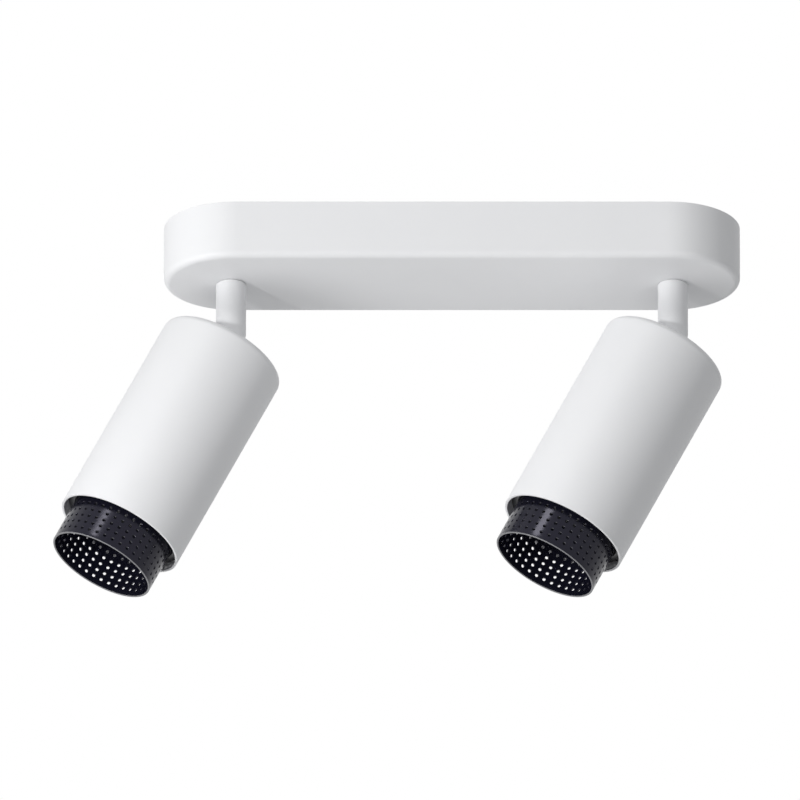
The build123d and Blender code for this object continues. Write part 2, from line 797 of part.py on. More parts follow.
def add_pairs(pieces, frame_of):
    """Each piece is made once in its own frame and placed on both sides."""
    for name, make in pieces.items():
        piece = make()
        for side in sides:
            add(f"{side}_{name}", frame_of(side) * piece)


add_base()
add_pairs(stem_pieces, stem_frame)
add_pairs(head_pieces, head_frame)

os.makedirs("parts", exist_ok=True)
for name, shape in parts.items():
    export_step(shape, f"parts/{name}.step")
print(len(parts), "nodes")
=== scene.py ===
from math import cos, pi, radians, sin

import bmesh
import bpy
import numpy as np
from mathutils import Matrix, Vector


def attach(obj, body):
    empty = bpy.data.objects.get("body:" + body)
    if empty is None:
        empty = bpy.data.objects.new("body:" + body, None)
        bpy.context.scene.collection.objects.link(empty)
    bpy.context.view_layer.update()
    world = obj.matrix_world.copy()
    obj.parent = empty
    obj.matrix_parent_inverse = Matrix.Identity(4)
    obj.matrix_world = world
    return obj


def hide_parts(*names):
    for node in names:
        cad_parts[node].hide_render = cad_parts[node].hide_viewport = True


# Two-head spotlight on a shallow base. Lengths below are millimetres in the construction's own
# sizes, and every mesh is put down in metres in the frame's place.

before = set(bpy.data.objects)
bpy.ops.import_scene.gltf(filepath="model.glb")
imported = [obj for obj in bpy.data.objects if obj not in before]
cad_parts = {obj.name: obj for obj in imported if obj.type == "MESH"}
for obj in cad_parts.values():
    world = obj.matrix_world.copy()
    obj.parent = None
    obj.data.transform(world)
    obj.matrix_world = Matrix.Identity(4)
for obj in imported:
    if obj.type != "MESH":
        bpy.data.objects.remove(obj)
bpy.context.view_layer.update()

# ---------------------------------------------------------------- sizes, as in the construction
stem_spacing = 220.0
pivot_z = -60.0
head_tilt = radians(27.5)
head_turn = radians(6.0)
head_radius = 32.3
head_bore = 31.0
head_wall = 1.3
cap_face = 7.1
cap_inner = 9.1
cap_edge = 4.0
cap_hole = 5.2
mouth = 120.0
ring_outer = 30.98
ring_front = 115.3
ring_shelf = 103.3
ring_back = 101.8
ring_bore = 27.1
ring_lip_bore = 25.7
groove_radius = 28.2
groove_low = 109.3
groove_high = 111.3
sleeve_radius = 27.0
sleeve_bore = 26.0
sleeve_rim = 139.5
hole_radius = 0.8
hole_rows = 5
holes_around = 39
first_row = 3.9
row_pitch = 3.65
first_column = radians(6.3)
holder_face = 53.0
lamp_face = 99.0
thread_radius = 5.0
nipple_bore = 3.7
nipple_low = -37.8
nipple_high = -21.5
nut_low = -25.5
nut_height = 3.0
nut_across_flats = 14.0
wave_low = -26.5
wave_high = -25.5
wave_inner, wave_outer, wave_sheet, wave_swing = 5.3, 7.5, 0.3, 0.35
rim_edge = 0.3
lamp_neck_radius = 12.0
lamp_neck_height = 12.0
lamp_rim_radius = 24.95
lamp_rim_height = 4.0
lens_seat_radius = 22.6
lens_seat_depth = 2.0
cooling_ribs = 24
rib_depth = 1.4

sides = {"left": -1, "right": 1}


# ---------------------------------------------------------------- places
def head_place(side):
    """Axes and origin of a head: rows are towards the pivot's front, sideways, and mouthward."""
    mouthward = np.array(
        [-sin(head_tilt) * cos(head_turn), -sin(head_tilt) * sin(head_turn), -cos(head_tilt)]
    )
    frontward = np.array([sin(head_turn), -cos(head_turn), 0.0])
    sideways = np.cross(mouthward, frontward)
    origin = np.array([sides[side] * stem_spacing / 2, 0.0, pivot_z])
    return np.array([frontward, sideways, mouthward]), origin


def stem_place(side):
    """Axes and origin of a stem's upper pieces: upright, heights measured from the base's back."""
    return np.eye(3), np.array([sides[side] * stem_spacing / 2, 0.0, 0.0])


# ---------------------------------------------------------------- meshes
def mesh_object(name, points, quads, place, sharp=32.0):
    """A piece from points in millimetres and quads: put in its place, closed, and turned outwards.

    Points that fall together become one, so seams and poles are closed. The sign of the volume,
    the sum of a . (b x c) / 6 over the faces' corners, tells whether the faces point outwards.
    """
    axes, origin = place
    placed = (points @ axes + origin) * 0.001
    mesh = bpy.data.meshes.new(name)
    mesh.from_pydata(placed, [], quads)
    shape = bmesh.new()
    shape.from_mesh(mesh)
    bmesh.ops.remove_doubles(shape, verts=shape.verts, dist=2e-6)
    bmesh.ops.dissolve_degenerate(shape, edges=shape.edges, dist=1e-7)
    if shape.calc_volume(signed=True) < 0:
        bmesh.ops.reverse_faces(shape, faces=shape.faces)
    shape.to_mesh(mesh)
    shape.free()
    mesh.shade_smooth()
    mesh.set_sharp_from_angle(angle=radians(sharp))
    made = bpy.data.objects.new(name, mesh)
    bpy.context.scene.collection.objects.link(made)
    return made


def grid_quads(rows, columns, wrap_rows=False):
    """Corner numbers of the quads of a grid, row after row. The columns go right round."""
    row = np.arange(rows if wrap_rows else rows - 1)[:, None]
    column = np.arange(columns)[None, :]
    next_row, next_column = (row + 1) % rows, (column + 1) % columns
    corners = [row * columns + column, row * columns + next_column]
    corners += [next_row * columns + next_column, next_row * columns + column]
    return np.stack([c + 0 * row + 0 * column for c in corners], axis=-1).reshape(-1, 4)


def around_axis(radius, angle, height):
    """Points (r cos v, r sin v, h) from radii, angles and heights that fit one grid."""
    grid = np.broadcast_arrays(radius * np.cos(angle), radius * np.sin(angle), height)
    return np.stack(grid, axis=-1)


def full_turn(count):
    """Equal angles round the axis, without the last one that would repeat the first."""
    return np.arange(count) * 2 * pi / count


def turned(name, outline, place, around=160, closed=True):
    """A turned piece: the outline's (radius, height) carried round the axis.

    point(u, v) = (r(u) cos v, r(u) sin v, h(u)). A closed outline makes a ring, an open one that
    starts and ends on the axis makes a solid of revolution.
    """
    outline = np.asarray(outline, float)
    radius, height = outline[:, 0][:, None], outline[:, 1][:, None]
    points = around_axis(radius, full_turn(around), height)
    quads = grid_quads(len(outline), around, wrap_rows=closed)
    return mesh_object(name, points.reshape(-1, 3), quads, place)


def rounded(corners, closed=True):
    """An outline of (radius, height, corner radius): each corner becomes an arc of its radius.

    The arc touches both sides at r / tan(half the corner's angle) from the corner.
    """
    corners = [np.asarray(c, float) for c in corners]
    made, count = [], len(corners)
    fine_steps, broad_steps = 4, 12
    for index, corner in enumerate(corners):
        point, bend = corner[:2], corner[2]
        if bend == 0 or (not closed and index in (0, count - 1)):
            made.append(point[None, :])
            continue
        before = corners[index - 1][:2] - point
        after = corners[(index + 1) % count][:2] - point
        before, after = before / np.linalg.norm(before), after / np.linalg.norm(after)
        half = np.arccos(np.clip(before @ after, -1, 1)) / 2
        bisector = (before + after) / np.linalg.norm(before + after)
        centre = point + bisector * bend / np.sin(half)
        start, end = point + before * bend / np.tan(half), point + after * bend / np.tan(half)
        steps = fine_steps if bend < 1 else broad_steps
        share = np.linspace(0, 1, steps + 1)[:, None]
        sweep = pi - 2 * half
        arm, last = start - centre, end - centre
        arc = (np.sin((1 - share) * sweep) * arm + np.sin(share * sweep) * last) / np.sin(sweep)
        made.append(centre + arc)
    return np.concatenate(made)


# ---------------------------------------------------------------- pieces of the heads
def make_head_shell(side):
    """Spun cup with a soft cap edge and a finely broken lip."""
    outline = rounded(
        [
            (cap_hole, cap_face, 0.15),
            (head_radius, cap_face, cap_edge),
            (head_radius, mouth, 0.3),
            (head_bore, mouth, 0.3),
            (head_bore, cap_inner, cap_edge - head_wall),
            (cap_hole, cap_inner, 0.15),
        ]
    )
    return turned(f"{side}_head_shell", outline, head_place(side), around=192)


def make_guide(side):
    """Moulded guide ring: fine bead on its front edge, grip groove, and the lip behind."""
    outline = rounded(
        [
            (ring_bore, ring_shelf, 0.1),
            (ring_lip_bore, ring_shelf, 0.15),
            (ring_lip_bore, ring_back, 0.15),
            (ring_outer, ring_back, 0.3),
            (ring_outer, ring_front, 0.35),
            (ring_bore + 0.5, ring_front, 0.3),
            (ring_bore, ring_front - 0.8, 0.2),
            (ring_bore, groove_high, 0.1),
            (groove_radius, groove_high, 0.1),
            (groove_radius, groove_low, 0.1),
            (ring_bore, groove_low, 0.1),
        ]
    )
    return turned(f"{side}_guide", outline, head_place(side), around=160)


def make_sleeve(side):
    """Perforated sleeve, unrolled into one cell for each hole.

    A cell's border has points spread evenly over its four sides, and the hole's edge has as many
    at equal angles f: (s0 + r cos f, z0 + r sin f). The unrolled s becomes the angle s / R round
    the axis, on the outside and again on the bore. The plain bands before and behind the rows are
    outlines carried round the axis with the same columns.
    """
    per_side = 4
    ring = 4 * per_side
    width = 2 * pi / holes_around
    height = row_pitch
    step = np.arange(per_side) / per_side
    border_s = np.concatenate([0.5 + 0 * step, 0.5 - step, -0.5 + 0 * step, -0.5 + step]) * width
    border_z = np.concatenate([-0.5 + step, 0.5 + 0 * step, 0.5 - step, -0.5 + 0 * step]) * height
    edge = -pi / 4 + np.arange(ring) * 2 * pi / ring
    countersink = 0.12
    wide, clear = hole_radius + countersink, hole_radius
    middle_s = first_column + np.arange(holes_around) * width
    middle_z = sleeve_rim - first_row - np.arange(hole_rows) * row_pitch
    mid_s, mid_z = np.meshgrid(middle_s, middle_z, indexing="ij")
    layers = [
        (border_s, border_z, sleeve_radius),
        (wide * np.cos(edge) / sleeve_radius, wide * np.sin(edge), sleeve_radius),
        (clear * np.cos(edge) / sleeve_radius, clear * np.sin(edge), sleeve_radius - countersink),
        (clear * np.cos(edge) / sleeve_radius, clear * np.sin(edge), sleeve_bore + countersink),
        (wide * np.cos(edge) / sleeve_radius, wide * np.sin(edge), sleeve_bore),
        (border_s, border_z, sleeve_bore),
    ]
    rows = []
    for offset_s, offset_z, radius in layers:
        s = mid_s[..., None] + offset_s
        z = mid_z[..., None] + offset_z
        rows.append(around_axis(radius, s, z))
    points = [np.stack(rows, axis=2).reshape(-1, 3)]
    one_cell = grid_quads(len(layers), ring)
    starts = np.arange(holes_around * hole_rows) * len(layers) * ring
    quads = [(starts[:, None, None] + one_cell).reshape(-1, 4)]

    angle = first_column - width / 2 + np.arange(holes_around * per_side) * width / per_side
    front = sleeve_rim - first_row + row_pitch / 2
    back = sleeve_rim - first_row - (hole_rows - 0.5) * row_pitch
    front_band = [
        (sleeve_radius, front, 0), (sleeve_radius, sleeve_rim, rim_edge),
        (sleeve_bore, sleeve_rim, rim_edge), (sleeve_bore, front, 0),
    ]
    back_band = [
        (sleeve_bore, back, 0), (sleeve_bore, ring_shelf, 0.2),
        (sleeve_radius, ring_shelf, 0.2), (sleeve_radius, back, 0),
    ]
    for band in (front_band, back_band):
        outline = rounded(band, closed=False)
        grid = around_axis(outline[:, 0][:, None], angle, outline[:, 1][:, None])
        first = sum(len(p) for p in points)
        points.append(grid.reshape(-1, 3))
        quads.append(grid_quads(len(outline), len(angle)) + first)
    points, quads = np.concatenate(points), np.concatenate(quads)
    return mesh_object(f"{side}_perforated_sleeve", points, quads, head_place(side))


def make_lamp_body(side):
    """Reflector lamp's housing with cooling ribs along its flare.

    radius(u, v) = outline radius - depth * w(u) * g(v), where g is a sharpened cosine of 24 v and
    w fades the grooves out towards the neck and the rim. The flare is a quarter of an ellipse.
    """
    neck_end, rim_start = holder_face + lamp_neck_height, lamp_face - lamp_rim_height
    seat = lamp_face - lens_seat_depth
    share = np.linspace(0, 1, 25)
    flare_radius = lamp_neck_radius + 12.9 * np.sin(share * pi / 2)
    flare_height = rim_start - (rim_start - neck_end) * np.cos(share * pi / 2)
    flare = np.stack([flare_radius, flare_height], axis=-1)
    lower = [
        (0, holder_face, 0),
        (lamp_neck_radius, holder_face, 0.8),
        (lamp_neck_radius, neck_end, 0),
    ]
    upper = [
        (lamp_rim_radius, rim_start, 0),
        (lamp_rim_radius, lamp_face, 0.6),
        (lens_seat_radius, lamp_face, 0.3),
        (lens_seat_radius, seat, 0),
        (0, seat, 0),
    ]
    lower, upper = rounded(lower, closed=False), rounded(upper, closed=False)
    outline = np.concatenate([lower[:-1], flare, upper])
    around = 192
    angle = full_turn(around)
    groove = (0.5 + 0.5 * np.cos(cooling_ribs * angle)) ** 2
    fade = np.zeros(len(outline))
    first = len(lower) - 1
    fade[first:first + len(flare)] = np.sin(share * pi) ** 0.7
    radius = outline[:, 0][:, None] - rib_depth * fade[:, None] * groove
    points = around_axis(radius, angle, outline[:, 1][:, None])
    quads = grid_quads(len(outline), around)
    return mesh_object(f"{side}_lamp_body", points.reshape(-1, 3), quads, head_place(side))


def make_lamp_front(side):
    """Frosted front lens: a shallow dome with fine concentric waves and a chamfered rim.

    height(r) = face - 0.1 - 0.5 (r / R)^2 + 0.06 cos(2 pi r / 1.5).
    """
    dome, edge, wave_length = 21.6, 22.5, 1.5
    chamfer_low, back_face = lamp_face - 1.0, lamp_face - 1.98
    radius = np.linspace(0, dome, 73)
    waves = 0.06 * np.cos(2 * pi * radius / wave_length)
    height = lamp_face - 0.1 - 0.5 * (radius / dome) ** 2 + waves
    front = np.stack([radius, height], axis=-1)
    back = np.array([(edge, chamfer_low), (edge, back_face), (0, back_face)])
    outline = np.concatenate([front, back])
    return turned(f"{side}_lamp_front", outline, head_place(side), around=96, closed=False)


# ---------------------------------------------------------------- pieces on the stems
def make_threaded_tube(side):
    """Threaded tube: r(z, v) = R - depth * t(z / pitch - v / 2 pi), t a triangle wave."""
    pitch, depth = 0.75, 0.4
    around, rows_per_pitch = 48, 8
    angle = full_turn(around)
    turns = (nipple_high - nipple_low) / pitch
    height = np.linspace(nipple_low, nipple_high, int(turns * rows_per_pitch))
    phase = height[:, None] / pitch - angle / (2 * pi)
    wave = np.abs(2 * (phase - np.floor(phase)) - 1)
    from_end = np.minimum(height - nipple_low, nipple_high - height)[:, None]
    limit = thread_radius - depth + np.clip(from_end, 0, depth)
    outer = np.minimum(thread_radius - depth * wave, limit)
    bore = np.full((1, around), nipple_bore)
    radius = np.concatenate([bore, outer, bore])
    z = np.concatenate([[nipple_low], height, [nipple_high]])[:, None]
    points = around_axis(radius, angle, z).reshape(-1, 3)
    quads = grid_quads(len(radius), around, wrap_rows=True)
    return mesh_object(f"{side}_threaded_tube", points, quads, stem_place(side), sharp=50)


def make_lock_nut(side):
    """Hexagon nut with turned corners.

    The flat's radius at angle v is a / cos(v - nearest flat), and a 30 degree cone from each face
    cuts the corners back: r = min(a / cos v', c + distance from the face * 1.73).
    """
    flat = nut_across_flats / 2
    around, chamfer, cone_slope = 144, 0.35, 1.73
    angle = full_turn(around)
    from_flat = (angle + pi / 6) % (pi / 3) - pi / 6
    prism = flat / np.cos(from_flat)
    level = np.array([0, 0.15, 0.35, 0.6, 1.5, 2.4, 2.65, 2.85, 3.0])
    from_face = np.minimum(level, nut_height - level)[:, None]
    side_radius = np.minimum(prism, flat - 0.1 + from_face * cone_slope)
    hole = np.full(around, thread_radius + 0.02)
    mouth_edge, face_edge = hole + chamfer, np.full(around, flat - 1.0)
    above = [face_edge, mouth_edge, hole, hole]
    radius = np.concatenate([[mouth_edge, face_edge], side_radius, above])
    above_z = [nut_height, nut_height, nut_height - chamfer, chamfer]
    z = np.concatenate([[0, 0], level, above_z])[:, None] + nut_low
    points = around_axis(radius, angle, z).reshape(-1, 3)
    quads = grid_quads(len(radius), around, wrap_rows=True)
    return mesh_object(f"{side}_lock_nut", points, quads, stem_place(side), sharp=25)


def make_wave_ring(side):
    """Wave washer: a flat ring 0.3 thick whose height swings as 0.35 cos 3v."""
    around, waves, edge = 96, 3, 0.05
    angle = full_turn(around)
    outline = rounded(
        [
            (wave_inner, 0.0, edge),
            (wave_outer, 0.0, edge),
            (wave_outer, wave_sheet, edge),
            (wave_inner, wave_sheet, edge),
        ]
    )
    middle = (wave_low + wave_high) / 2 - wave_sheet / 2
    height = middle + outline[:, 1][:, None] + wave_swing * np.cos(waves * angle)
    points = around_axis(outline[:, 0][:, None], angle, height)
    quads = grid_quads(len(outline), around, wrap_rows=True)
    return mesh_object(f"{side}_wave_ring", points.reshape(-1, 3), quads, stem_place(side))


# ---------------------------------------------------------------- shared effects
def coat(pebbles, clouds=40.0):
    """Scales of the coating grain."""
    return {"Pebbles per metre": pebbles, "Clouds per metre": clouds}


def roll(streaks, spangle=300.0):
    """Scales of the rolled grain."""
    return {"Streaks per metre": streaks, "Spangle per metre": spangle}


def stripe(stripes):
    """Scale of the striped skin."""
    return {"Stripes per metre": stripes}


def start_group(name, numbers):
    """A shader node group with a Vector and the numbers as inputs, still without its outputs."""
    group = bpy.data.node_groups.new(name, "ShaderNodeTree")
    group.interface.new_socket(name="Vector", in_out="INPUT", socket_type="NodeSocketVector")
    for label, value in numbers.items():
        made = group.interface.new_socket(
            name=label, in_out="INPUT", socket_type="NodeSocketFloat"
        )
        made.default_value = value
    return group, group.nodes.new("NodeGroupInput")


def end_group(group, **results):
    """Gives the group one number output for each result, by its name."""
    leave = group.nodes.new("NodeGroupOutput")
    for label, socket in results.items():
        group.interface.new_socket(name=label, in_out="OUTPUT", socket_type="NodeSocketFloat")
        group.links.new(socket, leave.inputs[label])
    return group


def math_node(tree, operation, first, second):
    """A Math node. Each operand is a socket or a number."""
    node = tree.nodes.new("ShaderNodeMath")
    node.operation = operation
    for slot, value in enumerate((first, second)):
        if isinstance(value, (int, float)):
            node.inputs[slot].default_value = value
        else:
            tree.links.new(value, node.inputs[slot])
    return node.outputs[0]


def weighed_sum(tree, first, first_share, second, second_share):
    """Two sockets added, each with its share."""
    first = math_node(tree, "MULTIPLY", first, first_share)
    second = math_node(tree, "MULTIPLY", second, second_share)
    return math_node(tree, "ADD", first, second)


def noise(tree, vector, scale, detail=2.0, roughness=0.5):
    """Fractal noise. The scale is cells per metre, as a socket or a number."""
    node = tree.nodes.new("ShaderNodeTexNoise")
    tree.links.new(vector, node.inputs["Vector"])
    if isinstance(scale, (int, float)):
        node.inputs["Scale"].default_value = scale
    else:
        tree.links.new(scale, node.inputs["Scale"])
    node.inputs["Detail"].default_value = detail
    node.inputs["Roughness"].default_value = roughness
    return node.outputs["Fac"]


def make_coating_grain():
    """Powder coat and moulded skin: fine pebbles, and slow clouds in tone and gloss."""
    group, entry = start_group("coating_grain", coat(900.0))
    vector = entry.outputs["Vector"]
    pebbles = noise(group, vector, entry.outputs["Pebbles per metre"], 3.0, 0.55)
    specks_per_pebble = 4.1
    finer = math_node(group, "MULTIPLY", entry.outputs["Pebbles per metre"], specks_per_pebble)
    specks = noise(group, vector, finer, 1.0)
    clouds = noise(group, vector, entry.outputs["Clouds per metre"], 3.0)
    height = weighed_sum(group, pebbles, 1.0, specks, 0.3)
    tone = weighed_sum(group, clouds, 0.6, pebbles, 0.4)
    gloss = weighed_sum(group, clouds, 0.5, specks, 0.5)
    return end_group(group, Height=height, Tone=tone, Gloss=gloss)


def make_rolled_grain():
    """Rolled or drawn metal: long streaks along X, with scattered spangle."""
    group, entry = start_group("rolled_grain", roll(1400.0))
    squeeze_along_x = 0.04
    stretch = group.nodes.new("ShaderNodeVectorMath")
    stretch.operation = "MULTIPLY"
    stretch.inputs[1].default_value = (squeeze_along_x, 1.0, 1.0)
    group.links.new(entry.outputs["Vector"], stretch.inputs[0])
    streaks = noise(group, stretch.outputs[0], entry.outputs["Streaks per metre"], 2.0)
    cells = group.nodes.new("ShaderNodeTexVoronoi")
    group.links.new(entry.outputs["Vector"], cells.inputs["Vector"])
    group.links.new(entry.outputs["Spangle per metre"], cells.inputs["Scale"])
    tone = weighed_sum(group, streaks, 0.6, cells.outputs["Distance"], 0.5)
    return end_group(group, Height=streaks, Tone=tone, Gloss=tone)


def make_striped_skin():
    """Two-colour insulation: stripes along X, where a sine of depth and height is over a level."""
    group, entry = start_group("striped_skin", stripe(350.0))
    parts = group.nodes.new("ShaderNodeSeparateXYZ")
    group.links.new(entry.outputs["Vector"], parts.inputs[0])
    across = math_node(group, "ADD", parts.outputs["Y"], parts.outputs["Z"])
    turns = math_node(group, "MULTIPLY", across, entry.outputs["Stripes per metre"])
    wave = math_node(group, "SINE", math_node(group, "MULTIPLY", turns, 2 * pi), 0.0)
    stripe_level, skin_per_metre = 0.3, 900.0
    second_colour = math_node(group, "GREATER_THAN", wave, stripe_level)
    skin = noise(group, entry.outputs["Vector"], skin_per_metre)
    return end_group(group, Height=skin, Tone=second_colour, Gloss=skin)


coating_grain = make_coating_grain()
rolled_grain = make_rolled_grain()
striped_skin = make_striped_skin()


# ---------------------------------------------------------------- finishes
def finish_of(name, group, scales, dark, light, rough, bump, **settings):
    """A finish: the group's tone mixes two colours, its gloss sets the roughness between two
    values, and its height bumps the surface by (strength, distance in metres).

    What is the same all over is set on the shader, by its socket's name with _ for a space.
    """
    material = bpy.data.materials.new(name)
    material.use_nodes = True
    tree = material.node_tree
    shader = tree.nodes["Principled BSDF"]
    where = tree.nodes.new("ShaderNodeTexCoord")
    grain = tree.nodes.new("ShaderNodeGroup")
    grain.node_tree = group
    tree.links.new(where.outputs["Object"], grain.inputs["Vector"])
    for label, value in scales.items():
        grain.inputs[label].default_value = value
    colour = tree.nodes.new("ShaderNodeMix")
    colour.data_type = "RGBA"
    colour_a, colour_b, colour_result = 6, 7, 2  # the Mix node's sockets for colours
    tree.links.new(grain.outputs["Tone"], colour.inputs["Factor"])
    colour.inputs[colour_a].default_value = (*dark, 1)
    colour.inputs[colour_b].default_value = (*light, 1)
    tree.links.new(colour.outputs[colour_result], shader.inputs["Base Color"])
    spread = tree.nodes.new("ShaderNodeMapRange")
    tree.links.new(grain.outputs["Gloss"], spread.inputs["Value"])
    spread.inputs["To Min"].default_value, spread.inputs["To Max"].default_value = rough
    tree.links.new(spread.outputs["Result"], shader.inputs["Roughness"])
    relief = tree.nodes.new("ShaderNodeBump")
    relief.inputs["Strength"].default_value, relief.inputs["Distance"].default_value = bump
    tree.links.new(grain.outputs["Height"], relief.inputs["Height"])
    tree.links.new(relief.outputs["Normal"], shader.inputs["Normal"])
    for label, value in settings.items():
        shader.inputs[label.replace("_", " ")].default_value = value
    return material


finishes = {
    "white_paint": finish_of(
        "white_powder_coat", coating_grain, coat(1100), (0.875, 0.877, 0.888),
        (0.915, 0.916, 0.925), (0.42, 0.62), (0.12, 0.00005),
    ),
    "black_satin": finish_of(
        "black_satin_coat", coating_grain, coat(1600), (0.005, 0.005, 0.011), (0.01, 0.01, 0.019),
        (0.16, 0.23), (0.08, 0.00002), Specular_Tint=(0.86, 0.84, 1.0, 1), IOR=1.34,
    ),
    "black_plastic": finish_of(
        "black_moulding", coating_grain, coat(1200), (0.012, 0.012, 0.015), (0.02, 0.02, 0.024),
        (0.25, 0.45), (0.1, 0.00004),
    ),
    "zinc_steel": finish_of(
        "zinc_plate", rolled_grain, roll(1400), (0.5, 0.5, 0.5), (0.72, 0.72, 0.7),
        (0.28, 0.5), (0.15, 0.00004), Metallic=1.0,
    ),
    "zinc_screws": finish_of(
        "bright_zinc", rolled_grain, roll(2600, 900), (0.56, 0.56, 0.56), (0.76, 0.76, 0.74),
        (0.2, 0.36), (0.1, 0.00003), Metallic=1.0,
    ),
    "white_screws": finish_of(
        "white_screw_paint", coating_grain, coat(1500), (0.86, 0.86, 0.87), (0.91, 0.91, 0.92),
        (0.35, 0.5), (0.1, 0.00003),
    ),
    "spring_steel": finish_of(
        "blued_spring_steel", rolled_grain, roll(2200, 700), (0.2, 0.2, 0.23), (0.36, 0.35, 0.36),
        (0.25, 0.42), (0.1, 0.00003), Metallic=1.0,
    ),
    "block_plastic": finish_of(
        "natural_nylon", coating_grain, coat(700), (0.78, 0.78, 0.74), (0.86, 0.86, 0.82),
        (0.35, 0.5), (0.12, 0.00006), Subsurface_Weight=0.15,
        Subsurface_Radius=(0.002, 0.002, 0.0015),
    ),
    "brass": finish_of(
        "turned_brass", rolled_grain, roll(2400, 800), (0.62, 0.44, 0.18), (0.82, 0.64, 0.32),
        (0.2, 0.38), (0.1, 0.00003), Metallic=1.0,
    ),
    "tinned_lug": finish_of(
        "tinned_copper", rolled_grain, roll(1800, 600), (0.6, 0.59, 0.57), (0.78, 0.77, 0.75),
        (0.25, 0.45), (0.15, 0.00004), Metallic=1.0,
    ),
    "brown_lead": finish_of(
        "brown_insulation", coating_grain, coat(900), (0.16, 0.06, 0.02), (0.24, 0.1, 0.035),
        (0.3, 0.45), (0.08, 0.00003),
    ),
    "blue_lead": finish_of(
        "blue_insulation", coating_grain, coat(900), (0.02, 0.1, 0.42), (0.035, 0.15, 0.55),
        (0.3, 0.45), (0.08, 0.00003),
    ),
    "green_lead": finish_of(
        "green_and_yellow_insulation", striped_skin, stripe(350), (0.07, 0.36, 0.06),
        (0.82, 0.7, 0.05), (0.3, 0.45), (0.08, 0.00003),
    ),
    "heatproof_lead": finish_of(
        "glass_braid", coating_grain, coat(2600, 300), (0.66, 0.64, 0.57), (0.86, 0.84, 0.78),
        (0.6, 0.8), (0.4, 0.0001),
    ),
    "grey_nylon": finish_of(
        "grey_nylon_skin", coating_grain, coat(1500), (0.56, 0.56, 0.57), (0.64, 0.64, 0.65),
        (0.4, 0.6), (0.1, 0.00004),
    ),
    "holder_ceramic": finish_of(
        "bare_ceramic", coating_grain, coat(1800, 120), (0.76, 0.73, 0.66), (0.87, 0.85, 0.79),
        (0.55, 0.8), (0.3, 0.00006),
    ),
    "lamp_white": finish_of(
        "lamp_moulding", coating_grain, coat(800), (0.82, 0.82, 0.82), (0.9, 0.9, 0.9),
        (0.3, 0.45), (0.08, 0.00003),
    ),
    "lamp_lens": finish_of(
        "frosted_lens", coating_grain, coat(2400), (0.88, 0.88, 0.86), (0.94, 0.94, 0.92),
        (0.3, 0.5), (0.3, 0.00006), Transmission_Weight=0.5, IOR=1.49,
    ),
    "grip_rubber": finish_of(
        "grip_rubber_skin", coating_grain, coat(1800), (0.015, 0.015, 0.015), (0.03, 0.03, 0.03),
        (0.6, 0.8), (0.2, 0.00005),
    ),
}


# Lighter grey for the sleeve's rim faces: a painted highlight standing for the lit rim edge, not a
# metal finish.
rim_highlight_paint = finish_of(
    "rim_highlight_paint", coating_grain, coat(1600), (0.17, 0.17, 0.18), (0.24, 0.24, 0.25),
    (0.3, 0.4), (0.08, 0.00002),
)


def dress(piece, slot):
    """Gives a piece the finish of a material slot."""
    piece.data.materials.clear()
    piece.data.materials.append(finishes[slot])


def paint_rim_highlight(piece, side):
    """The sleeve's turned rim and its two broken edges get a lighter grey: a painted highlight for
    the lit rim edge.
    """
    axes, origin = head_place(side)
    piece.data.materials.append(rim_highlight_paint)
    faces = piece.data.polygons
    centres = np.empty(len(faces) * 3, np.float32)
    faces.foreach_get("center", centres)
    height = (centres.reshape(-1, 3) * 1000 - origin) @ axes[2]
    faces.foreach_set("material_index", (height > sleeve_rim - rim_edge).astype(np.int32))


# ---------------------------------------------------------------- dressing
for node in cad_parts.values():
    packed_slot = node.material_slots[0].material.name
    dress(node, packed_slot.split(".")[0])

head_pieces = [
    (make_head_shell, "head_body", "white_paint", "head"),
    (make_guide, "guide_ring", "black_plastic", "head"),
    (make_lamp_body, "lamp_housing", "lamp_white", "head"),
    (make_lamp_front, "lamp_lens", "lamp_lens", "head"),
    (make_sleeve, "sleeve", "black_satin", "sleeve"),
    (make_threaded_tube, "nipple", "zinc_steel", "stem"),
    (make_lock_nut, "stem_nut", "zinc_screws", "stem"),
    (make_wave_ring, "wave_washer", "spring_steel", "stem"),
]
for side in sides:
    for make, node, slot, body in head_pieces:
        piece = make(side)
        dress(piece, slot)
        # The rim faces get the painted highlight grey.
        if make is make_sleeve:
            paint_rim_highlight(piece, side)
        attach(piece, f"{side}_{body}")
        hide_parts(f"{side}_{node}")

# ---------------------------------------------------------------- light
def aim(thing, target):
    """Turns a lamp or the camera so that its -Z looks at the target."""
    direction = Vector(target) - thing.location
    thing.rotation_euler = direction.to_track_quat("-Z", "Y").to_euler()


def make_lamp(name, azimuth, fall, distance, power, size):
    """A round lamp that looks at the object's middle.

    Azimuth and fall are degrees left of the front and below level, distance and size metres, and
    the power watts.
    """
    data = bpy.data.lights.new(name, "AREA")
    data.shape, data.size, data.energy = "DISK", size, power
    lamp = bpy.data.objects.new(name, data)
    side, drop = radians(azimuth), radians(fall)
    away = Vector((-sin(side) * cos(drop), -cos(side) * cos(drop), -sin(drop)))
    lamp.location = Vector(lit_point) + distance * away
    bpy.context.scene.collection.objects.link(lamp)
    aim(lamp, lit_point)


# The side lamp shapes the heads, the level one lights the stems, the high one makes the band of
# light on the sleeves, and the low one lifts the base's underside.
lit_point = (-0.03, 0.0, -0.09)
# name, azimuth, fall, distance, power, width
lamps = [
    ("side_lamp", 62.0, 6.0, 2.4, 6.0, 0.4),
    ("level_lamp", 40.0, 11.0, 2.4, 15.0, 0.12),
    ("high_lamp", 22.0, -38.0, 2.4, 9.0, 0.6),
    ("low_lamp", 50.0, 45.0, 1.15, 3.8, 0.7),
]
for lamp in lamps:
    make_lamp(*lamp)


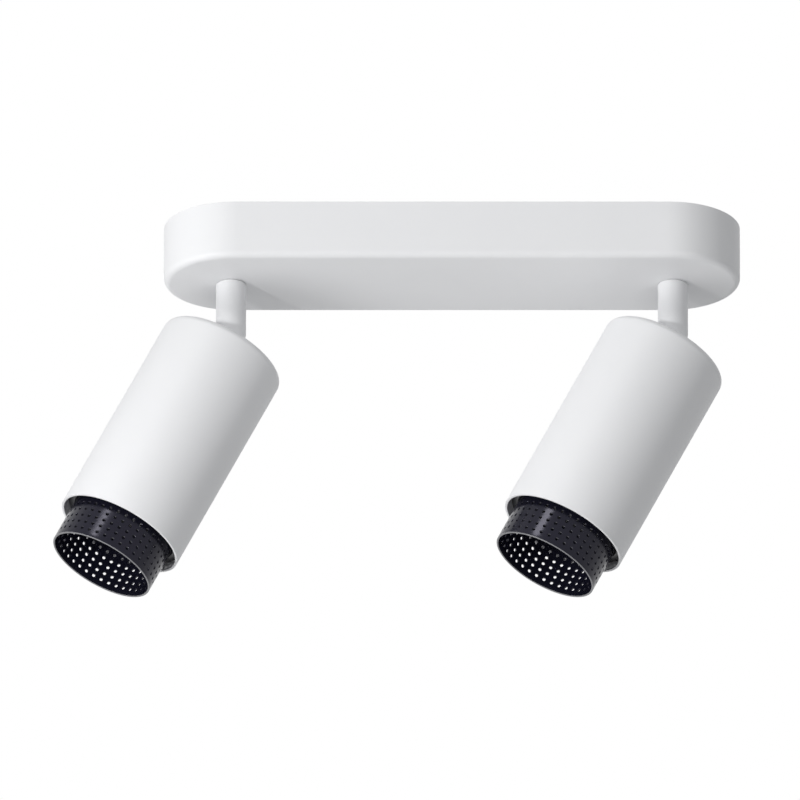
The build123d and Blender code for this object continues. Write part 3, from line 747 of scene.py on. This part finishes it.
def show_backdrop(tree, lit, shown):
    """The shown shader for the camera, mirrors and glass, the lit one for all other light."""
    path = tree.nodes.new("ShaderNodeLightPath")
    seen = math_node(tree, "MAXIMUM", path.outputs["Is Camera Ray"], path.outputs["Is Glossy Ray"])
    seen = math_node(tree, "MAXIMUM", seen, path.outputs["Is Transmission Ray"])
    mix = tree.nodes.new("ShaderNodeMixShader")
    tree.links.new(seen, mix.inputs[0])
    tree.links.new(lit, mix.inputs[1])
    tree.links.new(shown, mix.inputs[2])
    return mix.outputs[0]


def make_world():
    world = bpy.data.worlds.new("studio")
    bpy.context.scene.world = world
    world.use_nodes = True
    tree = world.node_tree
    tree.nodes.clear()
    leave = tree.nodes.new("ShaderNodeOutputWorld")
    around = tree.nodes.new("ShaderNodeBackground")
    around.inputs["Color"].default_value = (0.97, 0.985, 1.0, 1)
    around.inputs["Strength"].default_value = 0.34
    white = tree.nodes.new("ShaderNodeBackground")
    white.inputs["Color"].default_value = (1, 1, 1, 1)
    white.inputs["Strength"].default_value = 1.0
    shown = show_backdrop(tree, around.outputs[0], white.outputs[0])
    tree.links.new(shown, leave.inputs["Surface"])


def make_floor():
    """Pale floor a metre below the mounting plane. Its underside lets the light and the view by."""
    mesh = bpy.data.meshes.new("floor")
    half, level = 4.0, -1.0
    corners = [(-half, -half), (half, -half), (half, half), (-half, half)]
    mesh.from_pydata([(x, y, level) for x, y in corners], [], [(0, 1, 2, 3)])
    floor = bpy.data.objects.new("floor", mesh)
    bpy.context.scene.collection.objects.link(floor)
    material = bpy.data.materials.new("pale_floor")
    material.use_nodes = True
    tree = material.node_tree
    tree.nodes.clear()
    leave = tree.nodes.new("ShaderNodeOutputMaterial")
    matt = tree.nodes.new("ShaderNodeBsdfDiffuse")
    matt.inputs["Color"].default_value = (0.86, 0.86, 0.86, 1)
    glow = tree.nodes.new("ShaderNodeEmission")
    glow.inputs["Color"].default_value = (1, 1, 1, 1)
    glow.inputs["Strength"].default_value = 0.62
    added = tree.nodes.new("ShaderNodeAddShader")
    tree.links.new(matt.outputs[0], added.inputs[0])
    tree.links.new(glow.outputs[0], added.inputs[1])
    top = show_backdrop(tree, matt.outputs[0], added.outputs[0])
    clear = tree.nodes.new("ShaderNodeBsdfTransparent")
    side = tree.nodes.new("ShaderNodeNewGeometry")
    mix = tree.nodes.new("ShaderNodeMixShader")
    tree.links.new(side.outputs["Backfacing"], mix.inputs[0])
    tree.links.new(top, mix.inputs[1])
    tree.links.new(clear.outputs[0], mix.inputs[2])
    tree.links.new(mix.outputs[0], leave.inputs["Surface"])
    mesh.materials.append(material)


make_world()
make_floor()

# ---------------------------------------------------------------- camera
# The photograph looks up at the base from the front and below, from far away, so the picture is
# almost without perspective.
view_rise = radians(22.9)
view_distance = 16.0
frame_pixels, pixels_per_mm = 800, 2.011
frame_width = frame_pixels / pixels_per_mm * 0.001
target = Vector((-0.02586, 0.0, -0.09214))
camera_data = bpy.data.cameras.new("camera")
camera_data.sensor_width = 36.0
camera_data.lens = camera_data.sensor_width * view_distance / frame_width
camera_data.clip_start, camera_data.clip_end = 1.0, 60.0
camera = bpy.data.objects.new("camera", camera_data)
camera.location = target - view_distance * Vector((0, cos(view_rise), sin(view_rise)))
bpy.context.scene.collection.objects.link(camera)
aim(camera, target)
bpy.context.scene.camera = camera
bpy.context.scene.view_settings.view_transform = "Standard"
